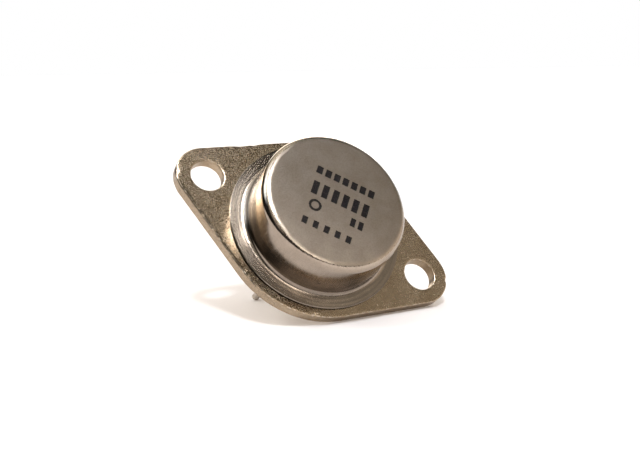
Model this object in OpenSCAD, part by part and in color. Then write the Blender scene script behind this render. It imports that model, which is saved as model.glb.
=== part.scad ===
// Power transistor in a two-hole metal case, in millimetres.
// The origin is at the centre of the flange's underside, halfway between the two screw holes.
// +X runs from hole to hole, +Z points out of the can, and the leads hang down along -Z.

/* [Flange] */
// Distance between the two screw holes
hole_pitch = 30.15; // [29.9:0.05:30.4]
// Diameter of each screw hole
hole_d = 4.2; // [3.8:0.1:4.4]
// Width of the rolled edge that the punch leaves at the top of a screw hole
hole_roll = 0.2; // [0.05:0.05:0.3]
// Width of the break at the bottom of a screw hole
hole_break = 0.1; // [0.05:0.05:0.2]
// Thickness of the flange
flange_t = 1.5; // [1.3:0.1:2.4]
// Radius of the flange round the can
flange_r = 12.5; // [12.3:0.1:13.3]
// Radius of the flange's ends, round the screw holes
lobe_r = 4.0; // [3.6:0.1:4.7]
// Width of the break along the flange's top edge
flange_break = 0.12; // [0.05:0.01:0.25]

/* [Can] */
// Height of the can above the flange
can_h = 6.9; // [5:0.1:9]
// Diameter of the can's wall, carried up to the level of its top
can_top_d = 18.8; // [18.4:0.1:19]
// Diameter of the can's wall, carried down to the level of the brim
can_foot_d = 19.1; // [19.1:0.1:19.6]
// Radius of the can's top edge
can_edge_r = 1.0; // [0.7:0.05:1.2]
// Radius of the hollow between the can's wall and its brim
can_foot_r = 0.65; // [0.5:0.05:0.8]
// Thickness of the can's sheet
can_wall = 0.5; // [0.46:0.02:0.54]
// Diameter of the brim that is welded to the flange
brim_d = 22.9; // [22.6:0.1:23.6]
// Thickness of the brim at its rim, pressed thinner than the sheet by the weld
brim_t = 0.3; // [0.2:0.02:0.34]
// Thickness that the brim slopes up to at the can's foot
brim_root_t = 0.44; // [0.36:0.02:0.44]
// Width of the breaks on the brim's rim
brim_break = 0.08; // [0.03:0.01:0.1]

/* [Leads] */
// Distance between the two leads
lead_pitch = 10.9; // [10.6:0.1:11.2]
// Distance of the leads' row from the middle of the flange
lead_offset = 2.0; // [1.5:0.1:2.1]
// Length of the leads below the flange
lead_len = 12.0; // [8:0.1:13]
// Diameter of the leads
lead_d = 1.0; // [0.9:0.05:1.1]
// Diameter of the leads where the glass wets them
lead_root_d = 1.1; // [1.1:0.05:1.3]
// Length below the flange over which a lead thins from its root
lead_root_len = 1.0; // [0.8:0.05:1.25]
// Width of the break round a lead's tip
lead_tip_break = 0.12; // [0.05:0.01:0.3]
// Diameter of the flat head inside the can, which takes the wires
lead_head_d = 2.0; // [1.8:0.1:2.4]
// Thickness of the flat head
lead_head_t = 0.3; // [0.2:0.05:0.5]
// Height of the flat head's underside above the flange
lead_rise = 1.0; // [0.7:0.1:1.5]

/* [Glass seals] */
// Diameter of the glass round each lead
seal_d = 3.2; // [2.6:0.1:3.4]
// Depth of the glass's rim below the flange's faces
seal_dip = 0.15; // [0.05:0.05:0.3]
// Height that the glass climbs along the lead inside the can
seal_climb = 0.1; // [0.05:0.05:0.3]

/* [Chip stack] */
// Length of the copper spreader, along the flange
spreader_l = 8.6; // [7:0.1:9]
// Width of the copper spreader
spreader_w = 6.8; // [6:0.1:7]
// Thickness of the copper spreader
spreader_t = 1.0; // [0.6:0.1:1.6]
// Corner radius of the copper spreader
spreader_corner_r = 0.8; // [0.3:0.1:1.5]
// Distance of the copper spreader's centre from the flange's centre
spreader_x = 2.4; // [2:0.1:2.8]
// Thickness of the braze under the spreader
braze_t = 0.05; // [0.03:0.01:0.1]
// Width of braze that shows round the spreader
braze_margin = 0.15; // [0.05:0.05:0.2]
// Side of the square chip
die_w = 4.8; // [4:0.1:5.2]
// Thickness of the chip
die_t = 0.26; // [0.2:0.01:0.4]
// Distance of the chip's centre from the flange's centre
die_x = 1.8; // [1.4:0.1:2.2]
// Thickness of the solder under the chip
solder_t = 0.07; // [0.04:0.01:0.12]
// Width of solder that shows round the chip
solder_margin = 0.15; // [0.05:0.05:0.3]

/* [Wires] */
// Diameter of the two emitter wires
emitter_wire_d = 0.38; // [0.25:0.01:0.45]
// Distance between the two emitter wires
emitter_wire_gap = 0.75; // [0.6:0.05:0.85]
// Diameter of the base wire
base_wire_d = 0.3; // [0.2:0.01:0.38]
// Height of a wire's arch over the line between its two ends
wire_rise = 1.3; // [1:0.1:2]
// Length of the flat foot at each end of a wire
wire_foot = 0.8; // [0.6:0.05:1]
// Width of a flat foot, in wire diameters
wire_spread = 1.3; // [1.2:0.05:1.3]
// Distance of the wires' feet from the chip's nearest edge
pad_inset = 1.3; // [1:0.1:1.6]

/* [Hidden] */
$fn = 96;
STEEL = [0.52, 0.45, 0.37];
BRIGHT_STEEL = [0.62, 0.57, 0.5];
SEAL_GLASS = [0.12, 0.17, 0.16];
COPPER = [0.72, 0.42, 0.28];
SILVER_BRAZE = [0.78, 0.74, 0.64];
SOLDER = [0.6, 0.61, 0.62];
SILICON = [0.3, 0.32, 0.36];
ALUMINIUM = [0.85, 0.86, 0.87];
// A cutter runs past the faces that it cuts by this much
past = 1;
// A round stands proud of the straight lines that run into it by this much, so that they cross cleanly
seam = 0.0005;

hole_x = hole_pitch / 2;
// Direction from the middle in which the straight flank leaves the round part of the flange
flank_angle = acos((flange_r - lobe_r) / hole_x);
flank_len = hole_x * sin(flank_angle);
brim_top = flange_t + brim_t;
can_top = flange_t + can_h;
// Lean of the can's wall from upright
wall_lean = atan((can_foot_d - can_top_d) / 2 / (can_h - brim_t));
// Radius at which the wall, or a line beside it by the distance out, passes a level z
function wall_r(z, out = 0) = can_top_d / 2 + (can_top - z) * tan(wall_lean) + out / cos(wall_lean);
// Point at the distance r from a centre, square to the can's wall
function off_wall(centre, r) = centre + r * [cos(wall_lean), sin(wall_lean)];
// Point at the distance r from a centre, square to the brim's top
function off_brim(centre, r) = centre + r * [sin(brim_lean), cos(brim_lean)];
edge_centre = [wall_r(can_top - can_edge_r, -can_edge_r), can_top - can_edge_r];
// The brim slopes down from the can's foot to its rim
brim_rim = brim_d / 2 - brim_break;
brim_lean = atan((brim_root_t - brim_t) / (brim_rim - can_foot_d / 2 - can_foot_r));
// The hollow's centre lies as far from the wall's line as from the brim's
wall_far = wall_r(0, can_foot_r);
brim_far = brim_top + brim_rim * tan(brim_lean) + can_foot_r / cos(brim_lean);
foot_z = (brim_far - wall_far * tan(brim_lean)) / (1 - tan(brim_lean) * tan(wall_lean));
foot_centre = [wall_far - foot_z * tan(wall_lean), foot_z];
head_top = flange_t + lead_rise + lead_head_t;
spreader_z = flange_t + braze_t;
solder_z = spreader_z + spreader_t;
die_z = solder_z + solder_t;
die_top = die_z + die_t;
// Where the leads' wires meet the chip, beside its middle
pad_x = die_x - die_w / 2 + pad_inset;
pad_y = die_w / 2 - pad_inset;

// Upright section of the flange from one distance to another, with a break at the top of its outer side
module flange_section(from, to) {
    polygon([
        [from, 0], [to, 0], [to, flange_t - flange_break], [to - flange_break, flange_t], [from, flange_t]
    ]);
}

module round_part(r) {
    rotate_extrude() flange_section(0, r);
}

// Bar along one straight flank, from the middle round to the end round
module flank() {
    rotate([0, 0, flank_angle]) rotate([90, 0, 0])
        linear_extrude(height = flank_len) flange_section(flange_r - lobe_r, flange_r - seam);
}

// Hole through the flange with a rolled top edge and a small break below
module screw_hole() {
    r = hole_d / 2;
    rotate_extrude() polygon([
        [0, -past], [r + hole_break + past, -past], [r, hole_break], [r, flange_t - hole_roll],
        [r + hole_roll / 4, flange_t - hole_roll / 3], [r + hole_roll, flange_t],
        [r + hole_roll, flange_t + past], [0, flange_t + past]
    ]);
}

module base_plate() {
    color(STEEL) difference() {
        union() {
            round_part(flange_r);
            for (turn = [0, 180]) rotate([0, 0, turn]) {
                translate([hole_x, 0, 0]) round_part(lobe_r);
                flank();
                mirror([0, 1, 0]) flank();
            }
        }
        for (side = [-1, 1]) translate([side * hole_x, 0, 0]) screw_hole();
        for (side = [-1, 1]) translate([-lead_offset, side * lead_pitch / 2, -past])
            cylinder(d = seal_d, h = flange_t + 2 * past);
    }
}

// Half section of the can's outside, from the flange up
module can_outside() {
    brim_r = brim_d / 2;
    difference() {
        polygon([
            [0, flange_t], [brim_rim, flange_t], [brim_r, flange_t + brim_break],
            [brim_r, brim_top - brim_break], [brim_rim, brim_top], off_brim(foot_centre, seam - can_foot_r),
            off_wall(foot_centre, seam - can_foot_r), off_wall(edge_centre, can_edge_r - seam),
            [edge_centre.x, can_top], [0, can_top]
        ]);
        translate(foot_centre) circle(r = can_foot_r);
    }
    translate(edge_centre) circle(r = can_edge_r);
}

// Half section of the space inside the can, carried below the flange's top
module can_inside() {
    inner_edge_r = can_edge_r - can_wall;
    inner_foot_r = can_foot_r + can_wall;
    difference() {
        polygon([
            [0, flange_t - past], [foot_centre.x, flange_t - past], [foot_centre.x, brim_top],
            off_wall(foot_centre, seam - inner_foot_r), off_wall(edge_centre, inner_edge_r - seam),
            [edge_centre.x, can_top - can_wall], [0, can_top - can_wall]
        ]);
        translate(foot_centre) circle(r = inner_foot_r);
    }
    translate(edge_centre) circle(r = inner_edge_r);
}

module cap() {
    color(STEEL) rotate_extrude() difference() {
        can_outside();
        can_inside();
    }
}

// A straight lead: broken tip, free wire, thicker root through the glass, and a flat head
module lead() {
    tip_r = lead_d / 2 - lead_tip_break;
    neck_z = flange_t + lead_rise;
    rotate_extrude() polygon([
        [0, -lead_len], [tip_r, -lead_len], [lead_d / 2, -lead_len + lead_tip_break],
        [lead_d / 2, -lead_root_len], [lead_root_d / 2, 0], [lead_root_d / 2, neck_z],
        [lead_head_d / 2, neck_z], [lead_head_d / 2, head_top], [0, head_top]
    ]);
}

// Glass ring between a lead and the flange, hollowed by its own surface tension
module seal() {
    bore_r = lead_root_d / 2;
    rim_r = seal_d / 2;
    rotate_extrude() polygon([
        [bore_r, 0], [rim_r, seal_dip], [rim_r, flange_t - seal_dip], [bore_r, flange_t + seal_climb]
    ]);
}

// Puts a piece on one lead's axis: side 1 is the emitter's and side -1 the base's
module at_lead(side) {
    translate([-lead_offset, side * lead_pitch / 2, 0]) children();
}

module emitter_pin() {
    color(BRIGHT_STEEL) at_lead(1) lead();
}

module base_pin() {
    color(BRIGHT_STEEL) at_lead(-1) lead();
}

module emitter_seal() {
    color(SEAL_GLASS) at_lead(1) seal();
}

module base_seal() {
    color(SEAL_GLASS) at_lead(-1) seal();
}

// Outline of the copper spreader, grown by a margin
module spreader_outline(margin = 0) {
    r = spreader_corner_r + margin;
    across = [spreader_l / 2 + margin, spreader_w / 2 + margin];
    translate([spreader_x, 0]) {
        square(2 * [across.x - r, across.y], center = true);
        square(2 * [across.x, across.y - r], center = true);
        for (x = [-1, 1], y = [-1, 1]) translate([x * (across.x - r), y * (across.y - r)]) circle(r = r);
    }
}

module heat_spreader() {
    color(COPPER) translate([0, 0, spreader_z]) linear_extrude(height = spreader_t) spreader_outline();
}

module spreader_braze() {
    color(SILVER_BRAZE) translate([0, 0, flange_t])
        linear_extrude(height = braze_t) spreader_outline(braze_margin);
}

// Square block on the chip's axis
module chip_block(side, z, height) {
    translate([die_x - side / 2, -side / 2, z]) cube([side, side, height]);
}

module die_solder() {
    color(SOLDER) chip_block(die_w + 2 * solder_margin, solder_z, solder_t);
}

module silicon_die() {
    color(SILICON) chip_block(die_w, die_z, die_t);
}

// Foot of a wire, pressed flat and wider than the wire, which lies along x on the surface at z = 0
module wire_end(d) {
    w = wire_spread * d;
    linear_extrude(height = d / 3) {
        square([wire_foot - w, w], center = true);
        for (x = [-1, 1]) translate([x * (wire_foot - w) / 2, 0]) circle(d = w);
    }
}

// Arched wire between two flat places, bonded by a flat foot at each end
module bond_wire(from, to, d) {
    step = to - from;
    span = norm([step.x, step.y]);
    reach = norm(step);
    arch_r = (pow(reach / 2, 2) + pow(wire_rise, 2)) / (2 * wire_rise);
    half_turn = asin(reach / 2 / arch_r);
    translate(from) rotate([0, 0, atan2(step.y, step.x)]) {
        wire_end(d);
        translate([span, 0, step.z]) wire_end(d);
        difference() {
            rotate([90, -atan2(step.z, span), 0]) translate([reach / 2, wire_rise - arch_r, 0])
                rotate([0, 0, 90 - half_turn]) rotate_extrude(angle = 2 * half_turn)
                    translate([arch_r, 0]) circle(d = d);
            translate([-wire_foot, -d, -d]) cube([2 * wire_foot, 2 * d, d]);
            translate([span - wire_foot, -d, step.z - d]) cube([2 * wire_foot, 2 * d, d]);
        }
    }
}

// Wire from the chip to a lead's head, moved sideways by the distance across
module lead_wire(side, d, across = 0) {
    pad = [pad_x, side * pad_y, die_top];
    head = [-lead_offset, side * lead_pitch / 2, head_top];
    run = [head.x - pad.x, head.y - pad.y];
    aside = across / norm(run) * [-run.y, run.x, 0];
    bond_wire(pad + aside, head + aside, d);
}

module emitter_wire_left() {
    color(ALUMINIUM) lead_wire(1, emitter_wire_d, emitter_wire_gap / 2);
}

module emitter_wire_right() {
    color(ALUMINIUM) lead_wire(1, emitter_wire_d, -emitter_wire_gap / 2);
}

module base_wire() {
    color(ALUMINIUM) lead_wire(-1, base_wire_d);
}

base_plate();
cap();
emitter_pin();
base_pin();
emitter_seal();
base_seal();
heat_spreader();
spreader_braze();
die_solder();
silicon_die();
emitter_wire_left();
emitter_wire_right();
base_wire();
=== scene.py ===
"""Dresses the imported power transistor: a punched flange, bare metals, glass, lamps and the camera.

Every length is in metres unless its name says otherwise. The row frame has its origin at the centre of
the flange's underside, +X from screw hole to screw hole and +Z out of the can. The part leans on a pale
floor as it does in the photograph: on one lower edge of its flange and on the tip of one lead.
"""

import logging
import math
from abc import ABC, abstractmethod
from collections.abc import Sequence
from dataclasses import dataclass
from enum import Enum

import bmesh
import bpy
from mathutils import Matrix, Vector, noise


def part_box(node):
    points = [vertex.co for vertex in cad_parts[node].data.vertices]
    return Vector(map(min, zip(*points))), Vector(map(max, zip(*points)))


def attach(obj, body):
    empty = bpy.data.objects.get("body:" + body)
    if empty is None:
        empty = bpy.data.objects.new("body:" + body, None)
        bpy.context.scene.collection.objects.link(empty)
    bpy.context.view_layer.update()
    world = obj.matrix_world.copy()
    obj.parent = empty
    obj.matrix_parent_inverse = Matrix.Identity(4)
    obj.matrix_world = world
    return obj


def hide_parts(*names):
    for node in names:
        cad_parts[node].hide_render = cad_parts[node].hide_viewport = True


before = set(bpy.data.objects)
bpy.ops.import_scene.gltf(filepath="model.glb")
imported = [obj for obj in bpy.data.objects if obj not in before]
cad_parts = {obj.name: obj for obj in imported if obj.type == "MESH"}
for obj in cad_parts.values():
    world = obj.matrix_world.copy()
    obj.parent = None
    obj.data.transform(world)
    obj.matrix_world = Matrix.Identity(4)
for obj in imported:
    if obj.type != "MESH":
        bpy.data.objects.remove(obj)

LOG = logging.getLogger("power_transistor")
BODY = "root"
MILLIMETRES = 1000.0
MM = 1.0e-3

Colour = tuple[float, float, float]
Place = tuple[float, float, float]
Ends = tuple[float, float]
Socket = bpy.types.NodeSocket
Value = float | Socket
Triple = Socket | Sequence[float]
MeshEdges = list[bmesh.types.BMEdge]
WHITE: Colour = (1.0, 1.0, 1.0)
UNUSED_W = 0.0
CLOUD_ENDS: Ends = (0.35, 0.68)
CLOUD_LAYERS = 3.0
FLECK_CORE = 0.4
INK_EDGE_MM = 0.04
CHIP_EDGE_MM = 0.05
PATCH_CORE = math.cos(math.radians(2.0))
FULL_STRENGTH = 1.0


def opaque(colour: Sequence[float]) -> tuple[float, float, float, float]:
    """Returns the colour with full alpha."""
    return (colour[0], colour[1], colour[2], 1.0)


class Mix(Enum):
    """What a Mix node mixes, with the place of the first of its two inputs for that kind."""

    FLOAT = 2
    VECTOR = 4
    RGBA = 6


class Graph:
    """Short calls that add nodes to one node tree and join them."""

    def __init__(self, tree: bpy.types.NodeTree) -> None:
        """Empties the node tree of a material or of the world and keeps it."""
        self.tree = tree
        tree.nodes.clear()

    def node(self, kind: str, **settings: object) -> bpy.types.Node:
        """Adds one node.

        Args:
            kind: The node's Blender type name.
            **settings: Properties to set on it.

        Returns:
            The new node.
        """
        made = self.tree.nodes.new(kind)
        for name, value in settings.items():
            setattr(made, name, value)
        return made

    def feed(self, socket: Socket, value: Value | Sequence[float]) -> None:
        """Joins a socket to an output, or sets its own value.

        Args:
            socket: The input to feed.
            value: An output socket, a number or several numbers.
        """
        if isinstance(value, bpy.types.NodeSocket):
            self.tree.links.new(value, socket)
        else:
            socket.default_value = value

    def filled(self, kind: str, values: Sequence[Value | Triple], **settings: object) -> bpy.types.Node:
        """Adds one node and feeds its first inputs in order.

        Args:
            kind: The node's Blender type name.
            values: What the inputs are fed with.
            **settings: Properties to set on it.

        Returns:
            The new node.
        """
        made = self.node(kind, **settings)
        for socket, value in zip(made.inputs, values):
            self.feed(socket, value)
        return made

    def maths(self, operation: str, *values: Value) -> Socket:
        """Adds a Math node and returns its result."""
        return self.filled("ShaderNodeMath", values, operation=operation).outputs[0]

    def times(self, first: Value, second: Value) -> Socket:
        """Returns the product of two numbers."""
        return self.maths("MULTIPLY", first, second)

    def vector(self, operation: str, *values: Triple) -> Socket:
        """Adds a Vector Math node and returns its vector."""
        return self.filled("ShaderNodeVectorMath", values, operation=operation).outputs[0]

    def dot(self, vector: Socket, direction: Vector) -> Socket:
        """Returns the dot product of a vector and a fixed direction."""
        made = self.filled("ShaderNodeVectorMath", (vector, direction), operation="DOT_PRODUCT")
        return made.outputs["Value"]

    def length(self, vector: Socket) -> Socket:
        """Returns a vector's length."""
        return self.filled("ShaderNodeVectorMath", (vector,), operation="LENGTH").outputs["Value"]

    def scaled(self, vector: Triple, factor: Value) -> Socket:
        """Returns the vector times a number."""
        made = self.filled("ShaderNodeVectorMath", (vector,), operation="SCALE")
        self.feed(made.inputs["Scale"], factor)
        return made.outputs[0]

    def combined(self, x: Value, y: Value, z: Value) -> Socket:
        """Returns a vector made of three parts."""
        return self.filled("ShaderNodeCombineXYZ", (x, y, z)).outputs[0]

    def separated(self, vector: Socket) -> tuple[Socket, Socket, Socket]:
        """Returns a vector's three parts."""
        parts = self.filled("ShaderNodeSeparateXYZ", (vector,)).outputs
        return parts[0], parts[1], parts[2]

    def remap(self, value: Value, low: float, high: float, start: float = 0.0, end: float = 1.0) -> Socket:
        """Maps the range from low to high smoothly onto start to end, and holds it there outside."""
        values = (value, low, high, start, end)
        return self.filled("ShaderNodeMapRange", values, interpolation_type="SMOOTHSTEP").outputs[0]

    def noise(self, vector: Socket, per_mm: float, detail: float = 2.0, roughness: float = 0.5) -> Socket:
        """Returns noise from 0 to 1, with as many finer layers as its detail says."""
        values = (vector, UNUSED_W, per_mm, detail, roughness)
        return self.filled("ShaderNodeTexNoise", values).outputs["Fac"]

    def mix(self, kind: Mix, share: Value, first: Value | Triple, second: Value | Triple) -> Socket:
        """Adds a Mix node, whose results come in the same order as its pairs of inputs.

        Args:
            kind: What it mixes.
            share: How much of the second shows, from 0 to 1.
            first: The first number, vector or colour.
            second: The second one.

        Returns:
            The mixture.
        """
        made = self.filled("ShaderNodeMix", (share,), data_type=kind.name)
        self.feed(made.inputs[kind.value], first)
        self.feed(made.inputs[kind.value + 1], second)
        return made.outputs[kind.value // 2 - 1]

    def mixed(self, share: Value, first: Triple, second: Triple) -> Socket:
        """Mixes two colours, from the first to the second as the share grows."""
        return self.mix(Mix.RGBA, share, first, second)

    def blended(self, share: Value, first: Value, second: Value) -> Socket:
        """Mixes two numbers, from the first to the second as the share grows."""
        return self.mix(Mix.FLOAT, share, first, second)

    def turned(self, share: Socket, first: Socket, second: Socket) -> Socket:
        """Returns a normal between two normals."""
        return self.vector("NORMALIZE", self.mix(Mix.VECTOR, share, first, second))

    def clouded(self, cloud: Socket, colour: Colour, dark_colour: Colour) -> Socket:
        """Returns a colour that drifts to a darker one in large soft clouds."""
        return self.mixed(self.remap(cloud, *CLOUD_ENDS), opaque(colour), opaque(dark_colour))

    def darkened(self, mask: Socket, least: float) -> Socket:
        """Returns a factor that is 1 outside a mask and falls to the given least inside it."""
        return self.remap(mask, 0.0, 1.0, 1.0, least)

    def bump(self, height: Socket, depth_mm: float, normal: Socket | None = None) -> Socket:
        """Returns a normal bent by a height.

        Args:
            height: The height, from 0 to 1.
            depth_mm: What a height of 1 stands for.
            normal: The normal to start from, if not the surface's own.

        Returns:
            The bent normal.
        """
        made = self.filled("ShaderNodeBump", (FULL_STRENGTH, depth_mm / MILLIMETRES))
        self.feed(made.inputs["Height"], height)
        if normal is not None:
            self.feed(made.inputs["Normal"], normal)
        return made.outputs[0]

    def place_mm(self) -> Socket:
        """Returns the place on the part in the row frame, in millimetres."""
        return self.scaled(self.node("ShaderNodeTexCoord").outputs["Object"], MILLIMETRES)

    def upness(self) -> Socket:
        """Returns how much the surface faces up the row's Z, from -1 to 1."""
        return self.separated(self.node("ShaderNodeTexCoord").outputs["Normal"])[2]

    def cells(self, place: Socket, per_mm: float) -> bpy.types.Node:
        """Adds the texture of irregular cells that flecks and crystals are made from."""
        return self.filled("ShaderNodeTexVoronoi", (place, UNUSED_W, per_mm))

    def flecks(self, place: Socket, per_mm: float, radius_mm: float, share: float) -> Socket:
        """Returns 1 inside small round flecks and 0 elsewhere.

        Args:
            place: Where it is looked up, in millimetres.
            per_mm: Cells a millimetre.
            radius_mm: How far a fleck reaches.
            share: The share of the cells that hold one.

        Returns:
            The mask.
        """
        cells = self.cells(place, per_mm)
        inside = self.remap(cells.outputs["Distance"], radius_mm * per_mm, FLECK_CORE * radius_mm * per_mm)
        chosen = self.maths("LESS_THAN", self.separated(cells.outputs["Color"])[0], share)
        return self.times(inside, chosen)

    def crystals(self, place: Socket, per_mm: float, tilt: float) -> Socket:
        """Tilts the normal by a fixed amount in each small crystal of the plating.

        Args:
            place: Where it is looked up, in millimetres.
            per_mm: Crystals a millimetre.
            tilt: The most that one leans, as a slope.

        Returns:
            The tilted normal.
        """
        cells = self.cells(place, per_mm)
        lean = self.vector("SUBTRACT", cells.outputs["Color"], (0.5, 0.5, 0.5))
        straight = self.node("ShaderNodeNewGeometry").outputs["Normal"]
        return self.vector("NORMALIZE", self.vector("ADD", straight, self.scaled(lean, 2.0 * tilt)))


@dataclass
class Look:
    """What a finish gives its shader."""

    colour: Socket
    roughness: Socket
    normal: Socket


@dataclass(frozen=True)
class Finish(ABC):
    """Surface of one kind of piece."""

    name: str

    @abstractmethod
    def look(self, graph: Graph) -> Look:
        """Builds the finish's colour, roughness and normal.

        Args:
            graph: The material's graph.

        Returns:
            The three outputs.
        """

    def settings(self) -> dict[str, float]:
        """Returns the shader's own values, which are the same all over the surface."""
        return {"Metallic": 1.0}

    def material(self) -> bpy.types.Material:
        """Makes the material, or finds the one that was made before.

        Returns:
            The material.
        """
        if self.name in bpy.data.materials:
            return bpy.data.materials[self.name]
        made = bpy.data.materials.new(self.name)
        made.use_nodes = True
        graph = Graph(made.node_tree)
        look = self.look(graph)
        shader = graph.node("ShaderNodeBsdfPrincipled")
        joined = {"Base Color": look.colour, "Roughness": look.roughness, "Normal": look.normal}
        for name, value in {**self.settings(), **joined}.items():
            graph.feed(shader.inputs[name], value)
        graph.filled("ShaderNodeOutputMaterial", (shader.outputs[0],))
        return made


@dataclass(frozen=True)
class PlatedFlange(Finish):
    """Nickel plate over a punched and tumbled steel flange: coarse bright grain, worn at its edges."""

    colour: Colour = (0.42, 0.325, 0.225)
    dark_colour: Colour = (0.36, 0.27, 0.18)
    worn_colour: Colour = (0.66, 0.58, 0.48)
    face_roughness: float = 0.27
    side_roughness: float = 0.34
    cloud_per_mm: float = 0.4
    grain_per_mm: float = 4.6
    grain_depth_mm: float = 0.0045
    crystal_per_mm: float = 5.0
    crystal_tilt: float = 0.025
    face_ends: Ends = (0.9, 0.99)
    edge_start: Ends = (0.15, 0.4)
    edge_end: Ends = (0.985, 0.9)
    worn_strength: float = 0.8
    spot_shade: float = 0.35
    # Painted shade: a dark crease beside the brim, on the side towards -Y.
    painted_crease_radius_mm: Ends = (11.56, 11.48)
    painted_crease_height_mm: Ends = (1.3, 1.45)
    painted_crease_direction: Vector = Vector((-0.47, -0.883, 0.0))
    painted_crease_ends: Ends = (0.72, 0.9)
    painted_crease_shade: float = 0.1
    # Along one flank the pitted grain is painted darker, as shade.
    pitted_shaded_flank_direction: Vector = Vector((-0.564, -0.826, 0.0))
    pitted_shaded_flank_mm: Ends = (10.3, 11.5)
    pit_and_painted_shade: float = 0.45
    # Painted reflection: a dark broken line along that flank's rolled top edge.
    rolled_mm: Ends = (11.9, 12.3)
    rolled_above_mm: Ends = (1.34, 1.4)
    roll_line_painted_shade: float = 0.35
    scratch_sets: tuple[Ends, ...] = ((0.5, 3.1), (2.1, 4.3))
    scratch_width_mm: float = 0.035
    scratch_bend_mm: float = 6.0

    def look(self, graph: Graph) -> Look:
        """Builds the flange's grain, stains, worn edges, sheared sides and painted shade.

        Args:
            graph: The material's graph.

        Returns:
            The three outputs.
        """
        place = graph.place_mm()
        up = graph.maths("ABSOLUTE", graph.upness())
        face = graph.remap(up, *self.face_ends)
        edge = graph.times(graph.remap(up, *self.edge_start), graph.remap(up, *self.edge_end))
        cloud = graph.noise(place, self.cloud_per_mm, CLOUD_LAYERS, 0.6)
        grain = graph.noise(place, self.grain_per_mm, 2.0, 0.6)
        fine = graph.noise(place, 1.7 * self.grain_per_mm, 2.0)
        base = graph.clouded(cloud, self.colour, self.dark_colour)
        scratches = self.scratches(graph, place)
        worn = graph.times(edge, graph.remap(graph.noise(place, 2.5, 3.0), 0.48, 0.62))
        pale = graph.flecks(place, 1.1, 0.07, 0.2)
        bright = graph.maths("MAXIMUM", graph.maths("MAXIMUM", worn, scratches), pale)
        lit = graph.mixed(graph.times(bright, self.worn_strength), base, opaque(self.worn_colour))
        spots = graph.darkened(graph.flecks(place, 1.7, 0.06, 0.2), self.spot_shade)
        shade = graph.times(graph.remap(grain, 0.3, 0.62, 0.8, 1.05), spots)
        # The last factor paints shade: a crease beside the brim, and a dark line and darker grain along
        # one flank.
        colour = graph.scaled(graph.scaled(lit, shade), self.grime_and_painted_shade(graph, place, fine))
        face_rough = graph.remap(fine, 0.3, 0.7, self.face_roughness - 0.05, self.face_roughness + 0.05)
        rough = graph.blended(face, self.side_roughness, face_rough)
        side = graph.vector("MULTIPLY", place, (1.0, 1.0, 0.12))
        streaks = graph.noise(side, 4.0, 3.0, 0.6)
        height = graph.blended(face, streaks, grain)
        facets = graph.crystals(place, self.crystal_per_mm, self.crystal_tilt)
        normal = graph.bump(height, self.grain_depth_mm, facets)
        return Look(colour, rough, normal)

    def grime_and_painted_shade(self, graph: Graph, place: Socket, fine: Socket) -> Socket:
        """Darkens the flange with painted shade: a crease beside the brim, a broken line along one flank's
        rolled top edge, and that flank's pitted grain.

        Args:
            graph: The material's graph.
            place: The place on the part, in millimetres.
            fine: Fine noise from 0 to 1.

        Returns:
            What the colour is multiplied by.
        """
        x, y, z = graph.separated(place)
        level = graph.combined(x, y, 0.0)
        radius = graph.length(level)
        # Painted shade in the crease beside the brim, on the side towards -Y.
        side = graph.dot(graph.vector("NORMALIZE", level), self.painted_crease_direction)
        painted_crease_side = graph.times(graph.remap(z, *self.painted_crease_height_mm), graph.remap(side, *self.painted_crease_ends))
        near = graph.remap(radius, *self.painted_crease_radius_mm)
        painted_shade = graph.darkened(graph.times(near, painted_crease_side), self.painted_crease_shade)
        # Pitted grain along one flank, painted darker as shade.
        along = graph.dot(place, self.pitted_shaded_flank_direction)
        pitted_shaded_flank = graph.remap(along, *self.pitted_shaded_flank_mm)
        # Painted reflection: a dark broken line along that flank's rolled top edge.
        rolled = graph.times(graph.remap(along, *self.rolled_mm), graph.remap(z, *self.rolled_above_mm))
        line = graph.times(rolled, graph.remap(graph.noise(place, 1.6, 3.0), 0.35, 0.5))
        painted_shade = graph.times(painted_shade, graph.darkened(line, self.roll_line_painted_shade))
        pits_and_painted_shade = graph.times(pitted_shaded_flank, graph.remap(fine, 0.5, 0.64))
        return graph.times(painted_shade, graph.darkened(pits_and_painted_shade, self.pit_and_painted_shade))

    def scratches(self, graph: Graph, place: Socket) -> Socket:
        """Finds a few thin handling scratches.

        Args:
            graph: The material's graph.
            place: The place on the part, in millimetres.

        Returns:
            The mask, 1 on the scratches.
        """
        x, y, _ = graph.separated(place)
        found: Socket | None = None
        for turn, pitch in self.scratch_sets:
            along_x = graph.times(x, math.cos(turn))
            across = graph.maths("ADD", along_x, graph.times(y, math.sin(turn)))
            bend = graph.times(graph.noise(place, 0.18, 1.0), self.scratch_bend_mm)
            wave = graph.maths("PINGPONG", graph.maths("ADD", across, bend), pitch)
            line = graph.remap(wave, self.scratch_width_mm, 0.0)
            broken = graph.times(line, graph.remap(graph.noise(place, 0.5, 2.0), 0.56, 0.64))
            found = broken if found is None else graph.maths("MAXIMUM", found, broken)
        return found


@dataclass(frozen=True)
class Scuff:
    """A rubbed spot on the can's wall, as a cluster of small dark dots."""

    centre_mm: Place
    reach_mm: float


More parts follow.
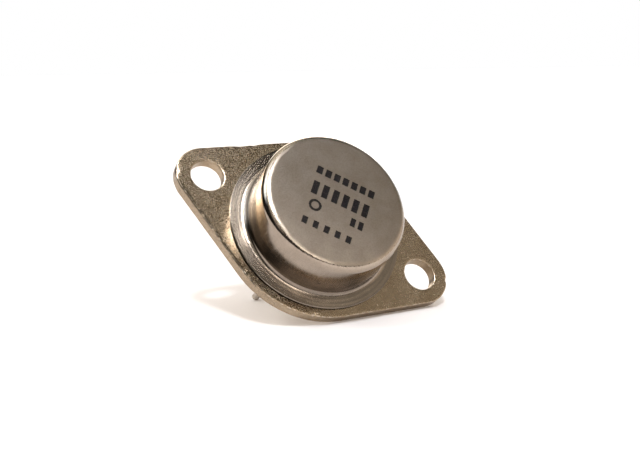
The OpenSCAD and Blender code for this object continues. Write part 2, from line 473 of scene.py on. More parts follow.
@dataclass(frozen=True)
class InkRow:
    """A row of plain printed blocks on the can's top, in millimetres."""

    x: float
    y: float
    width: float
    height: float
    pitch: float
    count: int

    def mask(self, graph: Graph, x: Socket, y: Socket) -> Socket:
        """Finds where the row's blocks are printed.

        Args:
            graph: The material's graph.
            x: The place along the row.
            y: The place across it.

        Returns:
            The mask, 1 on the blocks.
        """
        along = graph.maths("SUBTRACT", x, self.x)
        odd = 0.0 if self.count % 2 else 0.5 * self.pitch
        folded = graph.maths("WRAP", graph.maths("ADD", along, odd), 0.5 * self.pitch, -0.5 * self.pitch)
        half, half_row, half_height = 0.5 * self.width, 0.5 * self.count * self.pitch, 0.5 * self.height
        block = graph.remap(graph.maths("ABSOLUTE", folded), half + INK_EDGE_MM, half - INK_EDGE_MM)
        row = graph.remap(graph.maths("ABSOLUTE", along), half_row, half_row - INK_EDGE_MM)
        up = graph.maths("ABSOLUTE", graph.maths("SUBTRACT", y, self.y))
        tall = graph.remap(up, half_height + INK_EDGE_MM, half_height - INK_EDGE_MM)
        return graph.times(block, graph.times(row, tall))


@dataclass(frozen=True)
class DrawnCan(Finish):
    """Nickel plate over a drawn steel can: matt top, smooth wall, ringed foot and brushed brim.

    A pair in millimetres says where a band starts and where it is full.
    """

    colour: Colour = (0.385, 0.32, 0.26)
    dark_colour: Colour = (0.34, 0.28, 0.225)
    top_roughness: float = 0.33
    wall_roughness: float = 0.15
    brim_roughness: float = 0.24
    shoulder_mm: Ends = (7.95, 8.32)
    gloss_mm: Ends = (8.1, 8.4)
    brim_mm: Ends = (2.5, 2.0)
    hollow_mm: Ends = (3.7, 2.5)
    # Painted shade: the wall darkens towards its foot.
    lower_wall_shade_mm: Ends = (4.7, 2.7)
    lower_wall_painted_shade: float = 0.74
    # Painted shade in the crease under the brim's rim.
    rim_mm: Ends = (11.28, 11.36)
    brim_crease_shade_mm: Ends = (1.64, 1.59)
    brim_crease_painted_shade: float = 0.06
    cloud_per_mm: float = 0.45
    ring_per_mm: float = 3.2
    ring_drift: float = 0.03
    wall_depth_mm: float = 0.0012
    ring_depth_mm: float = 0.0048
    grain_depth_mm: float = 0.005
    top_brightening_y_mm: Ends = (1.0, -8.0)
    top_brightening_gain: Ends = (0.97, 1.25)
    ink_colour: Colour = (0.012, 0.01, 0.012)
    ink_roughness: float = 0.5
    ink_level_mm: Ends = (8.38, 8.4)
    ink_shift_mm: float = 0.12
    ink_ring_mm: Place = (-2.4, -2.15, 0.66)
    ink_ring_line_mm: Ends = (0.2, 0.14)
    ink_rows: tuple[InkRow, ...] = (
        InkRow(0.35, 2.95, 0.8, 1.1, 1.18, 7),
        InkRow(0.35, 0.25, 0.8, 1.9, 1.36, 6),
        InkRow(3.2, -2.15, 0.65, 1.2, 1.05, 2),
        InkRow(-0.15, -4.7, 0.7, 1.0, 1.45, 5),
    )
    scuffs: tuple[Scuff, ...] = (Scuff((-0.52, -9.46, 5.21), 0.75), Scuff((1.79, -9.3, 4.17), 0.5))
    scuff_shade: float = 0.35
    speck_shade: float = 0.45

    def look(self, graph: Graph) -> Look:
        """Builds the can's bands from its top down to its brim.

        Args:
            graph: The material's graph.

        Returns:
            The three outputs.
        """
        place = graph.place_mm()
        x, y, z = graph.separated(place)
        radius = graph.length(graph.combined(x, y, 0.0))
        top = graph.remap(z, *self.shoulder_mm)
        brim = graph.remap(z, *self.brim_mm)
        along = graph.combined(radius, z, graph.times(graph.maths("ADD", x, y), self.ring_drift))
        rings = graph.noise(along, self.ring_per_mm, 1.5, 0.6)
        streaks = graph.noise(graph.vector("MULTIPLY", place, (1.0, 1.0, 0.06)), 3.5, 3.0, 0.6)
        grain = graph.noise(place, 5.5, 2.0, 0.6)
        cloud = graph.noise(place, self.cloud_per_mm, CLOUD_LAYERS, 0.55)
        base = graph.clouded(cloud, self.colour, self.dark_colour)
        # Painted shade: the wall darkens towards its foot, on top of the grain's own tone.
        low = graph.blended(graph.remap(z, *self.lower_wall_shade_mm), 1.0, self.lower_wall_painted_shade)
        grain_tone_and_lower_shade = graph.times(graph.remap(grain, 0.25, 0.65, 0.86, 1.0), low)
        brushed = graph.blended(brim, 1.0, graph.remap(rings, 0.35, 0.65, 0.8, 1.2))
        # The first factor holds painted shade in the crease under the brim, as well as the scuffs and
        # specks.
        shade = graph.times(self.grime_and_painted_shade(graph, place, radius, z), graph.times(grain_tone_and_lower_shade, brushed))
        side_rough = graph.blended(brim, self.wall_roughness, self.brim_roughness)
        rough = graph.blended(graph.remap(z, *self.gloss_mm), side_rough, self.top_roughness)
        mottled = graph.maths("ADD", rough, graph.remap(streaks, 0.3, 0.7, -0.03, 0.03))
        wall = graph.bump(streaks, self.wall_depth_mm)
        ringed = graph.bump(rings, self.ring_depth_mm)
        side = graph.turned(graph.remap(z, *self.hollow_mm), wall, ringed)
        matt = graph.bump(grain, self.grain_depth_mm, graph.crystals(place, 6.0, 0.035))
        lit = graph.scaled(base, graph.times(shade, self.top_brightening(graph, y, top)))
        ink = graph.times(self.print_mask(graph, place), graph.remap(z, *self.ink_level_mm))
        colour = graph.mixed(ink, lit, opaque(self.ink_colour))
        rough = graph.blended(ink, mottled, self.ink_roughness)
        return Look(colour, rough, graph.turned(top, side, matt))

    def top_brightening(self, graph: Graph, y: Socket, top: Socket) -> Socket:
        """Returns how much brighter the top gets towards -Y."""
        return graph.blended(top, 1.0, graph.remap(y, *self.top_brightening_y_mm, *self.top_brightening_gain))

    def print_mask(self, graph: Graph, place: Socket) -> Socket:
        """Returns 1 on the printed shapes: rows of plain blocks and a ring, with slightly rough edges.

        Args:
            graph: The material's graph.
            place: The place on the part, in millimetres.

        Returns:
            The mask.
        """
        uneven = graph.maths("SUBTRACT", graph.noise(place, 7.0, 1.0), 0.5)
        shift = graph.times(uneven, self.ink_shift_mm)
        x, y, _ = graph.separated(graph.vector("ADD", place, graph.combined(shift, shift, 0.0)))
        ring_x, ring_y, radius = self.ink_ring_mm
        away = graph.length(graph.vector("SUBTRACT", graph.combined(x, y, 0.0), (ring_x, ring_y, 0.0)))
        band = graph.maths("ABSOLUTE", graph.maths("SUBTRACT", away, radius))
        found = graph.remap(band, *self.ink_ring_line_mm)
        for row in self.ink_rows:
            found = graph.maths("MAXIMUM", found, row.mask(graph, x, y))
        return graph.times(found, graph.remap(graph.noise(place, 9.0, 2.0), 0.3, 0.45, 0.85, 1.0))

    def grime_and_painted_shade(self, graph: Graph, place: Socket, radius: Socket, z: Socket) -> Socket:
        """Darkens the scuffs and a few small specks, and paints shade in the crease under the brim.

        Args:
            graph: The material's graph.
            place: The place on the part, in millimetres.
            radius: The distance from the can's axis, in millimetres.
            z: The height, in millimetres.

        Returns:
            What the colour is multiplied by.
        """
        # Painted shade in the crease under the brim's rim.
        brim_crease_shade = graph.times(graph.remap(radius, *self.rim_mm), graph.remap(z, *self.brim_crease_shade_mm))
        shade = graph.darkened(brim_crease_shade, self.brim_crease_painted_shade)
        dots = graph.remap(graph.noise(place, 3.4, 2.0), 0.5, 0.62)
        for scuff in self.scuffs:
            away = graph.length(graph.vector("SUBTRACT", place, scuff.centre_mm))
            near = graph.remap(away, scuff.reach_mm, 0.3 * scuff.reach_mm)
            shade = graph.times(shade, graph.darkened(graph.times(near, dots), self.scuff_shade))
        specks = graph.flecks(place, 0.9, 0.06, 0.2)
        return graph.times(shade, graph.darkened(specks, self.speck_shade))


@dataclass(frozen=True)
class BareMetal(Finish):
    """Plain metal with fine grain and lengthways drawing marks."""

    colour: Colour
    dark_colour: Colour
    roughness: float
    grain_per_mm: float = 8.0
    depth_mm: float = 0.003
    drawn: float = 1.0
    cloud_per_mm: float = 0.8

    def look(self, graph: Graph) -> Look:
        """Builds the metal's mottled colour, uneven gloss and grain.

        Args:
            graph: The material's graph.

        Returns:
            The three outputs.
        """
        place = graph.place_mm()
        cloud = graph.noise(place, self.cloud_per_mm, CLOUD_LAYERS, 0.6)
        stretched = graph.vector("MULTIPLY", place, (1.0, 1.0, self.drawn))
        grain = graph.noise(stretched, self.grain_per_mm, 2.0, 0.6)
        base = graph.clouded(cloud, self.colour, self.dark_colour)
        colour = graph.scaled(base, graph.remap(grain, 0.25, 0.6, 0.82, 1.0))
        patchy = graph.noise(place, 3.0, 2.0)
        rough = graph.remap(patchy, 0.3, 0.7, self.roughness - 0.05, self.roughness + 0.06)
        return Look(colour, rough, graph.bump(grain, self.depth_mm))


@dataclass(frozen=True)
class SealGlass(Finish):
    """Dark fused glass with small bubbles and a few paler clouds."""

    colour: Colour = (0.035, 0.045, 0.04)
    pale_colour: Colour = (0.11, 0.125, 0.11)
    cloud_per_mm: float = 1.6

    def settings(self) -> dict[str, float]:
        """Returns the glass's own values."""
        return {"Metallic": 0.0, "IOR": 1.52, "Coat Weight": 0.3, "Coat Roughness": 0.04}

    def look(self, graph: Graph) -> Look:
        """Builds the glass's clouds, gloss and bubbles.

        Args:
            graph: The material's graph.

        Returns:
            The three outputs.
        """
        place = graph.place_mm()
        cloud = graph.noise(place, self.cloud_per_mm, CLOUD_LAYERS, 0.6)
        bubbles = graph.flecks(place, 4.0, 0.07, 0.35)
        base = graph.mixed(graph.remap(cloud, 0.4, 0.75), opaque(self.colour), opaque(self.pale_colour))
        colour = graph.mixed(graph.times(bubbles, 0.6), base, opaque(self.pale_colour))
        rough = graph.remap(cloud, 0.3, 0.7, 0.08, 0.2)
        return Look(colour, rough, graph.bump(bubbles, -0.01, graph.bump(cloud, 0.01)))


@dataclass(frozen=True)
class Silicon(Finish):
    """Polished silicon under its oxide, with the metal fingers of a power chip."""

    colour: Colour = (0.13, 0.13, 0.15)
    metal_colour: Colour = (0.62, 0.62, 0.63)
    centre_mm: Place = (1.8, 0.0, 0.0)
    finger_pitch_mm: float = 0.5
    half_width_mm: float = 2.2

    def look(self, graph: Graph) -> Look:
        """Builds the chip's fingers on its dark field.

        Args:
            graph: The material's graph.

        Returns:
            The three outputs.
        """
        place = graph.place_mm()
        away = graph.vector("ABSOLUTE", graph.vector("SUBTRACT", place, self.centre_mm))
        across, along, _ = graph.separated(away)
        wave = graph.maths("PINGPONG", along, self.finger_pitch_mm)
        finger = graph.remap(wave, 0.5 * self.finger_pitch_mm, 0.56 * self.finger_pitch_mm)
        field_x = graph.remap(across, self.half_width_mm, self.half_width_mm - CHIP_EDGE_MM)
        field_y = graph.remap(along, self.half_width_mm, self.half_width_mm - CHIP_EDGE_MM)
        metal = graph.times(finger, graph.times(field_x, field_y))
        grain = graph.noise(place, 6.0, 2.0)
        colour = graph.mixed(metal, opaque(self.colour), opaque(self.metal_colour))
        shaded = graph.scaled(colour, graph.remap(grain, 0.3, 0.7, 0.9, 1.0))
        rough = graph.blended(metal, 0.12, graph.remap(grain, 0.3, 0.7, 0.25, 0.38))
        return Look(shaded, rough, graph.bump(metal, 0.006))


class MetalTone(Enum):
    """Named bare metals of the leads and of the pieces inside the can."""

    LEAD = BareMetal("plated_lead_wire", (0.56, 0.50, 0.43), (0.46, 0.41, 0.35), 0.27, drawn=0.1)
    COPPER = BareMetal("copper_slab", (0.80, 0.42, 0.27), (0.62, 0.31, 0.20), 0.32)
    BRAZE = BareMetal("silver_braze", (0.66, 0.60, 0.50), (0.55, 0.48, 0.38), 0.38, 6.0)
    SOLDER = BareMetal("soft_solder", (0.58, 0.58, 0.60), (0.46, 0.46, 0.49), 0.30, 5.0)
    WIRE = BareMetal("aluminium_wire", (0.80, 0.80, 0.81), (0.70, 0.70, 0.72), 0.24, 10.0, 0.0015)


@dataclass(frozen=True)
class Nick:
    """A small bruise pressed into an edge."""

    x: float
    y: float
    reach: float
    depth: float

    def bite(self, point: Vector) -> float:
        """Returns how deep the nick is at a point of the edge."""
        away = math.hypot(point.x - self.x, point.y - self.y) / self.reach
        return self.depth * math.exp(-away * away)


@dataclass(frozen=True)
class Edge:
    """A closed line of points in the plane, each with the direction that points out of the metal."""

    points: tuple[Vector, ...]
    normals: tuple[Vector, ...]


@dataclass(frozen=True)
class Row:
    """One row of an edge's upright section: how far inside the line, how high and how uneven it is."""

    inset: float
    height: float
    rough: float = 0.0
    bitten: float = 0.0


def arc(centre_x: float, radius: float, start: float, end: float, spacing: float) -> Edge:
    """Makes evenly spaced points on an arc whose centre lies on the X axis.

    Args:
        centre_x: Where its centre lies.
        radius: Its radius.
        start: Its first angle, in radians.
        end: Its last angle.
        spacing: The distance between two points.

    Returns:
        The points with their outward directions.
    """
    count = max(8, round(abs(end - start) * radius / spacing))
    turns = [start + (end - start) * step / count for step in range(count + 1)]
    normals = tuple(Vector((math.cos(turn), math.sin(turn))) for turn in turns)
    return Edge(tuple(Vector((centre_x, 0.0)) + normal * radius for normal in normals), normals)


@dataclass
class Flange:
    """The punched flange: rolled top edges, sheared sides, nicks and two pairs of holes."""

    hole_pitch: float = 30.15 * MM
    body_radius: float = 12.5 * MM
    lobe_radius: float = 4.0 * MM
    thickness: float = 1.5 * MM
    hole_radius: float = 2.1 * MM
    hole_roll: float = 0.2 * MM
    hole_break: float = 0.1 * MM
    edge_roll: float = 0.14 * MM
    spacing: float = 0.11 * MM
    sharp_degrees: float = 38.0
    unevenness: float = 0.022 * MM
    nicks: tuple[Nick, ...] = (
        Nick(-12.6 * MM, 6.6 * MM, 1.0 * MM, 0.10 * MM),
        Nick(-11.2 * MM, 7.6 * MM, 0.5 * MM, 0.09 * MM),
        Nick(19.0 * MM, 1.0 * MM, 0.35 * MM, 0.13 * MM),
        Nick(-18.9 * MM, -1.3 * MM, 0.5 * MM, 0.07 * MM),
        Nick(3.2 * MM, -12.1 * MM, 0.4 * MM, 0.08 * MM),
        Nick(-6.8 * MM, -10.5 * MM, 0.3 * MM, 0.08 * MM),
        Nick(9.6 * MM, 8.4 * MM, 0.4 * MM, 0.1 * MM),
        Nick(12.9 * MM, -0.6 * MM, 0.2 * MM, 0.05 * MM),
    )
    finish: PlatedFlange = PlatedFlange("nickel_on_flange")

    def flank(self) -> float:
        """Returns the direction that a straight flank faces, from +X."""
        return math.acos((self.body_radius - self.lobe_radius) / (self.hole_pitch / 2.0))

    def outline(self) -> Edge:
        """Makes the flange's outer line, anticlockwise, with its straight flanks divided too.

        Returns:
            The line.
        """
        flank, reach = self.flank(), self.hole_pitch / 2.0
        arcs = (
            arc(reach, self.lobe_radius, -flank, flank, self.spacing),
            arc(0.0, self.body_radius, flank, math.pi - flank, self.spacing),
            arc(-reach, self.lobe_radius, math.pi - flank, math.pi + flank, self.spacing),
            arc(0.0, self.body_radius, math.pi + flank, 2.0 * math.pi - flank, self.spacing),
        )
        points: list[Vector] = []
        normals: list[Vector] = []
        for piece, after in zip(arcs, arcs[1:] + arcs[:1]):
            points.extend(piece.points)
            normals.extend(piece.normals)
            run = after.points[0] - piece.points[-1]
            count = round(run.length / self.spacing)
            points.extend(piece.points[-1] + run * (step / count) for step in range(1, count))
            normals.extend(piece.normals[-1] for _ in range(1, count))
        return Edge(tuple(points), tuple(normals))

    def bore(self, x: float, y: float, radius: float) -> Edge:
        """Makes a hole's line, with its directions pointing into the hole.

        Args:
            x: Its centre along X.
            y: Its centre along Y.
            radius: Its radius.

        Returns:
            The line.
        """
        count = round(2.0 * math.pi * radius / self.spacing)
        turns = [2.0 * math.pi * step / count for step in range(count)]
        out = [Vector((math.cos(turn), math.sin(turn))) for turn in turns]
        return Edge(tuple(Vector((x, y)) + way * radius for way in out), tuple(-way for way in out))

    def outer_rows(self) -> list[Row]:
        """Makes the outer edge's section.

        Returns:
            Its rows, from the underside to the top.
        """
        roll, top = self.edge_roll, self.thickness
        rows = [Row(0.5 * MM, 0.0), Row(0.04 * MM, 0.0), Row(0.0, 0.04 * MM, 0.4)]
        for share in (0.15, 0.3, 0.42, 0.54, 0.66, 0.78):
            rows.append(Row(0.0, share * top, 0.55))
        for turn in (0.0, 18.0, 36.0, 54.0, 72.0, 90.0):
            angle = math.radians(turn)
            inset, height = roll * (1.0 - math.cos(angle)), top - roll * (1.0 - math.sin(angle))
            rows.append(Row(inset, height, 1.0 - 0.8 * turn / 90.0, 1.0))
        return rows + [Row(0.3 * MM, top), Row(0.6 * MM, top)]

    def hole_rows(self) -> list[Row]:
        """Makes a screw hole's section.

        Returns:
            Its rows, from the underside to the top.
        """
        roll, low, top = self.hole_roll, self.hole_break, self.thickness
        rows = [Row(0.6 * MM, 0.0), Row(low, 0.0), Row(0.0, low, 0.4)]
        rows += [Row(0.0, share * top, 0.5) for share in (0.2, 0.35, 0.5, 0.65, 0.78)]
        for turn in (0.0, 15.0, 30.0, 45.0, 60.0, 75.0, 90.0):
            angle = math.radians(turn)
            inset, height = roll * (1.0 - math.cos(angle)), top - roll * (1.0 - math.sin(angle))
            rows.append(Row(inset, height, 0.6, 1.0))
        return rows + [Row(roll + 0.3 * MM, top), Row(roll + 0.6 * MM, top)]

    def placed(self, point: Vector, normal: Vector, row: Row) -> Vector:
        """Places one vertex of an edge.

        Args:
            point: The line's point.
            normal: The direction out of the metal there.
            row: The section's row.

        Returns:
            The vertex, moved only into the metal.
        """
        spot = Vector((point.x, point.y, row.height)) * MILLIMETRES
        coarse = noise.noise(spot * 1.3) + 0.6 * noise.noise(spot * 4.1)
        bite = sum(nick.bite(point) for nick in self.nicks) * row.bitten
        inward = row.inset + row.rough * self.unevenness * max(0.0, 0.5 + coarse) + bite
        lowered = row.height - bite * 0.7 - row.bitten * 0.3 * self.unevenness * max(0.0, coarse)
        flat = point - normal * inward
        return Vector((flat.x, flat.y, lowered))

    def band(self, mesh: bmesh.types.BMesh, edge: Edge, rows: list[Row]) -> tuple[MeshEdges, MeshEdges]:
        """Makes the faces along one edge.

        Args:
            mesh: The mesh that they go into.
            edge: The line in the plane.
            rows: Its section.

        Returns:
            The mesh edges of its lowest and of its highest row.
        """
        grid = [
            [mesh.verts.new(self.placed(*spot, row)) for spot in zip(edge.points, edge.normals)]
            for row in rows
        ]
        count = len(edge.points)
        for low, high in zip(grid, grid[1:]):
            for step in range(count):
                after = (step + 1) % count
                mesh.faces.new((low[step], low[after], high[after], high[step]))
        ends = []
        for row in (grid[0], grid[-1]):
            ends.append([mesh.edges.get((row[step], row[(step + 1) % count])) for step in range(count)])
        return ends[0], ends[1]

    def build(self) -> None:
        """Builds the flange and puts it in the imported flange's place."""
        mesh = bmesh.new()
        reach = self.hole_pitch / 2.0
        holes = [(self.bore(x, 0.0, self.hole_radius), self.hole_rows()) for x in (-reach, reach)]
        for seal in ("emitter_seal", "base_seal"):
            low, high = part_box(seal)
            middle = (low + high) / 2.0
            edge = self.bore(middle.x, middle.y, (high.x - low.x) / 2.0)
            holes.append((edge, [Row(0.0, 0.0), Row(0.0, 0.5 * self.thickness), Row(0.0, self.thickness)]))
        lows: MeshEdges = []
        highs: MeshEdges = []
        for edge, rows in [(self.outline(), self.outer_rows()), *holes]:
            low, high = self.band(mesh, edge, rows)
            lows += low
            highs += high
        for edges, up in ((lows, -1.0), (highs, 1.0)):
            facing = (0.0, 0.0, up)
            bmesh.ops.triangle_fill(mesh, use_beauty=True, use_dissolve=False, edges=edges, normal=facing)
        bmesh.ops.recalc_face_normals(mesh, faces=mesh.faces)
        data = bpy.data.meshes.new("punched_flange")
        mesh.to_mesh(data)
        mesh.free()
        data.shade_smooth()
        data.set_sharp_from_angle(angle=math.radians(self.sharp_degrees))
        data.materials.append(self.finish.material())
        piece = added("punched_flange", data)
        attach(piece, BODY)
        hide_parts("base_plate")
        LOG.info("flange: %d faces in place of base_plate", len(data.polygons))


def added(name: str, data: bpy.types.ID) -> bpy.types.Object:
    """Adds an object to the scene.

    Args:
        name: Its name.
        data: Its mesh, camera or light data.

    Returns:
        The object.
    """
    made = bpy.data.objects.new(name, data)
    bpy.context.scene.collection.objects.link(made)
    return made


def dress(node: str, finish: Finish) -> None:
    """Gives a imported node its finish.

    Args:
        node: The node's name.
        finish: Its finish.
    """
    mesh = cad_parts[node].data
    mesh.materials.clear()
    mesh.materials.append(finish.material())
    LOG.info("%s: %s", node, finish.name)


@dataclass
class Can:
    """The drawn can with its brim."""

    finish: DrawnCan = DrawnCan("nickel_on_can")

    def build(self) -> None:
        """Dresses the can."""
        dress("cap", self.finish)


@dataclass
class Leads:
    """The two leads in their glass seals."""

    pins: tuple[str, ...] = ("base_pin", "emitter_pin")
    seals: tuple[str, ...] = ("base_seal", "emitter_seal")
    glass: SealGlass = SealGlass("fused_seal_glass")

    def build(self) -> None:
        """Dresses the leads and the glass."""
        for pin in self.pins:
            dress(pin, MetalTone.LEAD.value)
        for seal in self.seals:
            dress(seal, self.glass)


@dataclass
class Chip:
    """The pieces inside the can: the copper slab, the chip on it and the wires."""

    wires: tuple[str, ...] = ("emitter_wire_left", "emitter_wire_right", "base_wire")
    silicon: Silicon = Silicon("oxidised_silicon")

    def build(self) -> None:
        """Dresses the pieces from the flange upwards."""
        dress("spreader_braze", MetalTone.BRAZE.value)
        dress("heat_spreader", MetalTone.COPPER.value)
        dress("die_solder", MetalTone.SOLDER.value)
        dress("silicon_die", self.silicon)
        for wire in self.wires:
            dress(wire, MetalTone.WIRE.value)


@dataclass(frozen=True)
class Pose:
    """How the part leans on the floor, as directions in the row frame.

    Azimuths are measured round the floor's up direction, from the side that faces the camera and growing
    towards the camera's right. Elevations are measured from the floor.
    """

    up: Vector
    toward: Vector
    right: Vector
    contact: Vector

    def direction(self, azimuth: float, elevation: float) -> Vector:
        """Works out a direction.

        Args:
            azimuth: Its azimuth, in degrees.
            elevation: Its elevation, in degrees.

        Returns:
            The unit direction.
        """
        a, e = math.radians(azimuth), math.radians(elevation)
        level = self.toward * math.cos(a) + self.right * math.sin(a)
        return level * math.cos(e) + self.up * math.sin(e)


@dataclass(frozen=True)
class Viewpoint:
    """The photograph's camera, as it stands round the part."""

    aim: Vector = Vector((0.906, 0.339, 0.441)) * MM
    azimuth: float = -107.925
    elevation: float = 53.711
    roll: float = 39.628
    distance: float = 116.248 * MM
    focal_share: float = 906.5 / 640.0
    sensor_width: float = 36.0
    clip: Ends = (0.01, 20.0)

    def back(self) -> Vector:
        """Returns the unit direction from the aim point to the camera."""
        a, e = math.radians(self.azimuth), math.radians(self.elevation)
        return Vector((math.cos(a) * math.cos(e), math.sin(a) * math.cos(e), math.sin(e)))

    def place(self) -> Vector:
        """Returns the camera's place."""
        return self.aim + self.back() * self.distance

    def build(self) -> None:
        """Makes the scene's camera."""
        data = bpy.data.cameras.new("camera")
        data.sensor_width = self.sensor_width
        data.lens = self.focal_share * self.sensor_width
        data.clip_start, data.clip_end = self.clip
        camera = added("camera", data)
        roll = Matrix.Rotation(math.radians(self.roll), 3, "Z")
        turn = self.back().to_track_quat("Z", "Y").to_matrix() @ roll
        camera.matrix_world = Matrix.Translation(self.place()) @ turn.to_4x4()
        bpy.context.scene.camera = camera


@dataclass(frozen=True)
class Rest:
    """Finds the floor that the part leans on from its flange and its lead."""

    lead_tip_radius: float = 0.38 * MM

    def pose(self, flange: Flange, viewpoint: Viewpoint) -> Pose:
        """Works out the floor's directions.

        Args:
            flange: The flange, one of whose flanks touches the floor.
            viewpoint: The camera, which the azimuths start from.

        Returns:
            The floor's up, toward and right directions and a point of the resting edge.
        """
        flank = flange.flank()
        outward = Vector((math.cos(flank), -math.sin(flank), 0.0))
        low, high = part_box("base_pin")
        tip = Vector(((low.x + high.x) / 2.0, (low.y + high.y) / 2.0, low.z))
        level = flange.body_radius - outward.dot(tip) - self.lead_tip_radius
        lean = math.atan2(level, -tip.z)
        up = Vector((0.0, 0.0, math.sin(lean))) - outward * math.cos(lean)
        back = viewpoint.place()
        toward = (back - up * back.dot(up)).normalized()
        return Pose(up, toward, up.cross(toward), outward * flange.body_radius)


@dataclass(frozen=True)
class Floor:
    """Pale floor that keeps the shadow, with a faint glow for the camera; it is clear from below."""

    half_width: float = 3.0
    colour: Colour = (0.9, 0.9, 0.9)
    glow_tint: Colour = (1.0, 0.8, 0.64)
    glow_seen: float = 0.05

    def build(self, pose: Pose) -> None:
        """Makes the floor under the leaning part.

        Args:
            pose: How the part leans.
        """
        mesh = bpy.data.meshes.new("floor")
        corners = [
            pose.contact + pose.toward * y * self.half_width + pose.right * x * self.half_width
            for x, y in ((-1, -1), (-1, 1), (1, 1), (1, -1))
        ]
        mesh.from_pydata(corners, [], [(0, 1, 2, 3)])
        if mesh.polygons[0].normal.dot(pose.up) < 0:
            mesh.flip_normals()
        floor = added("floor", mesh)
        mesh.materials.append(self.material())

    def material(self) -> bpy.types.Material:
        """Makes the floor's white, which keeps the shadow.

        Returns:
            The floor's material.
        """
        made = bpy.data.materials.new("floor_white")
        made.use_nodes = True
        graph = Graph(made.node_tree)
        matt = graph.filled("ShaderNodeBsdfDiffuse", (opaque(self.colour),)).outputs[0]
        rays = graph.node("ShaderNodeLightPath")
        glow = graph.times(rays.outputs["Is Camera Ray"], self.glow_seen)
        lit = graph.filled("ShaderNodeEmission", (opaque(self.glow_tint), glow)).outputs[0]
        above = graph.filled("ShaderNodeAddShader", (matt, lit)).outputs[0]
        clear = graph.node("ShaderNodeBsdfTransparent").outputs[0]
        below = graph.node("ShaderNodeNewGeometry").outputs["Backfacing"]
        both = graph.filled("ShaderNodeMixShader", (below, above, clear)).outputs[0]
        graph.filled("ShaderNodeOutputMaterial", (both,))
        return made


@dataclass(frozen=True)
class Lamp:
    """A soft far lamp."""

    name: str
    azimuth: float
    elevation: float
    spread: float
    floor_share: float
    colour: Colour = WHITE

    def build(self, pose: Pose) -> None:
        """Makes the lamp, as wide as it looks from the part and as strong as the floor needs.

        Args:
            pose: How the part leans, which gives the lamp's direction.
        """
        data = bpy.data.lights.new(self.name, "SUN")
        data.angle = math.radians(self.spread)
        data.energy = self.floor_share * math.pi / math.sin(math.radians(self.elevation))
        data.color = self.colour
        lamp = added(self.name, data)
        out = pose.direction(self.azimuth, self.elevation)
        across = pose.up.cross(out).normalized()
        turn = Matrix((across, out.cross(across), out)).transposed()
        lamp.matrix_world = Matrix.Translation(out) @ turn.to_4x4()
        lamp.visible_camera = False
        lamp.visible_glossy = False
        LOG.info("lamp: %s", self.name)


@dataclass(frozen=True)
class Patch:
    """Part of the room that bare metal reflects: a round patch of light with a soft rim."""

    azimuth: float
    elevation: float
    reach: float
    colour: Colour

    def share(self, graph: Graph, around: Socket, pose: Pose) -> Socket:
        """Returns how much of the patch shows in each direction."""
        near = graph.dot(around, pose.direction(self.azimuth, self.elevation))
        return graph.remap(near, math.cos(math.radians(self.reach)), PATCH_CORE)


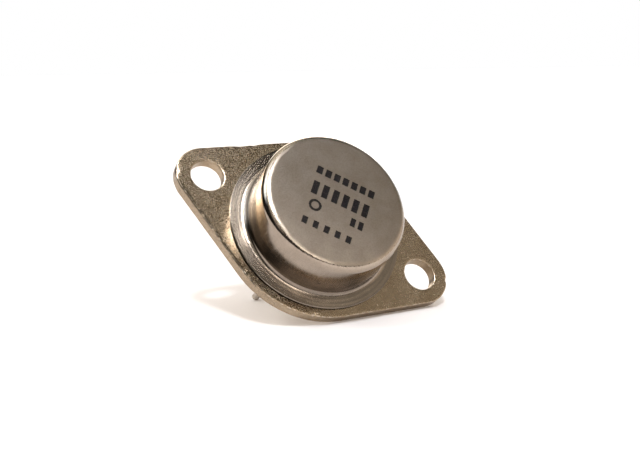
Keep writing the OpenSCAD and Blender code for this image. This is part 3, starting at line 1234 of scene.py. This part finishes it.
@dataclass(frozen=True)
class Room:
    """The world: white to the camera, even light to matt surfaces, and to metal a dim room of patches."""

    ambient: Colour = (0.98, 0.9, 0.84)
    ceiling: Colour = (0.015, 0.013, 0.011)
    patches: tuple[Patch, ...] = (
        Patch(-84.0, 46.0, 18.0, (3.8, 4.4, 5.0)),
        Patch(-60.0, 64.0, 18.0, (1.9, 2.0, 1.9)),
        Patch(-20.0, 64.0, 18.0, (4.4, 4.4, 4.1)),
        Patch(-100.0, 64.0, 18.0, (2.0, 2.4, 3.0)),
        Patch(-140.0, 60.0, 32.0, (1.4, 1.35, 1.15)),
        Patch(11.0, 69.0, 10.5, (56.0, 60.0, 66.0)),
        Patch(46.0, 66.0, 5.0, (4.0, 4.0, 4.0)),
        Patch(33.0, 24.0, 7.0, (9.0, 8.7, 8.2)),
        Patch(22.0, 30.0, 7.0, (7.0, 6.8, 6.4)),
        Patch(12.0, 39.0, 7.0, (4.0, 3.9, 3.7)),
        Patch(20.0, 64.0, 18.0, (1.5, 1.4, 1.2)),
        Patch(0.0, 86.0, 26.0, (0.45, 0.4, 0.3)),
        Patch(-28.0, 36.0, 22.0, (0.6, 0.55, 0.5)),
        Patch(180.0, 8.0, 29.0, (4.9, 4.5, 3.9)),
        Patch(150.0, 8.0, 29.0, (1.8, 2.1, 2.5)),
        Patch(120.0, 8.0, 29.0, (0.8, 0.78, 0.73)),
        Patch(90.0, 8.0, 29.0, (1.0, 0.85, 0.7)),
        Patch(72.0, 32.0, 32.0, (0.44, 0.41, 0.35)),
        Patch(40.0, 32.0, 32.0, (0.31, 0.27, 0.23)),
    )

    def build(self, pose: Pose) -> None:
        """Makes the world round the leaning part.

        Args:
            pose: How the part leans, which gives the patches' directions.
        """
        world = bpy.data.worlds.new("room")
        bpy.context.scene.world = world
        world.use_nodes = True
        graph = Graph(world.node_tree)
        around = graph.node("ShaderNodeTexCoord").outputs["Generated"]
        shown: Triple = self.ceiling
        for patch in self.patches:
            light = graph.scaled(patch.colour, patch.share(graph, around, pose))
            shown = graph.vector("ADD", shown, light)
        rays = graph.node("ShaderNodeLightPath")
        lighting = graph.mixed(rays.outputs["Is Glossy Ray"], opaque(self.ambient), shown)
        seen = graph.maths("MAXIMUM", rays.outputs["Is Camera Ray"], rays.outputs["Is Transmission Ray"])
        light = graph.filled("ShaderNodeBackground", (graph.mixed(seen, lighting, opaque(WHITE)),))
        graph.filled("ShaderNodeOutputWorld", (light.outputs[0],))


@dataclass
class Studio:
    """The floor, the room and the lamps."""

    floor: Floor = Floor()
    room: Room = Room()
    lamps: tuple[Lamp, ...] = (
        Lamp("key_lamp", 0.0, 61.0, 8.0, 0.4, (0.88, 0.92, 1.0)),
        Lamp("left_window", -76.0, 48.0, 14.0, 0.15, (1.0, 0.97, 0.9)),
    )

    def build(self, pose: Pose) -> None:
        """Sets the studio up round the leaning part.

        Args:
            pose: How the part leans.
        """
        self.floor.build(pose)
        self.room.build(pose)
        for lamp in self.lamps:
            lamp.build(pose)


def main() -> None:
    """Builds the scene in order."""
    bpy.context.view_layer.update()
    bpy.context.scene.view_settings.view_transform = "Standard"
    viewpoint = Viewpoint()
    viewpoint.build()
    flange = Flange()
    flange.build()
    Can().build()
    Leads().build()
    Chip().build()
    Studio().build(Rest().pose(flange, viewpoint))


if __name__ == "__main__":
    logging.basicConfig(level=logging.INFO, format="%(message)s")
    main()
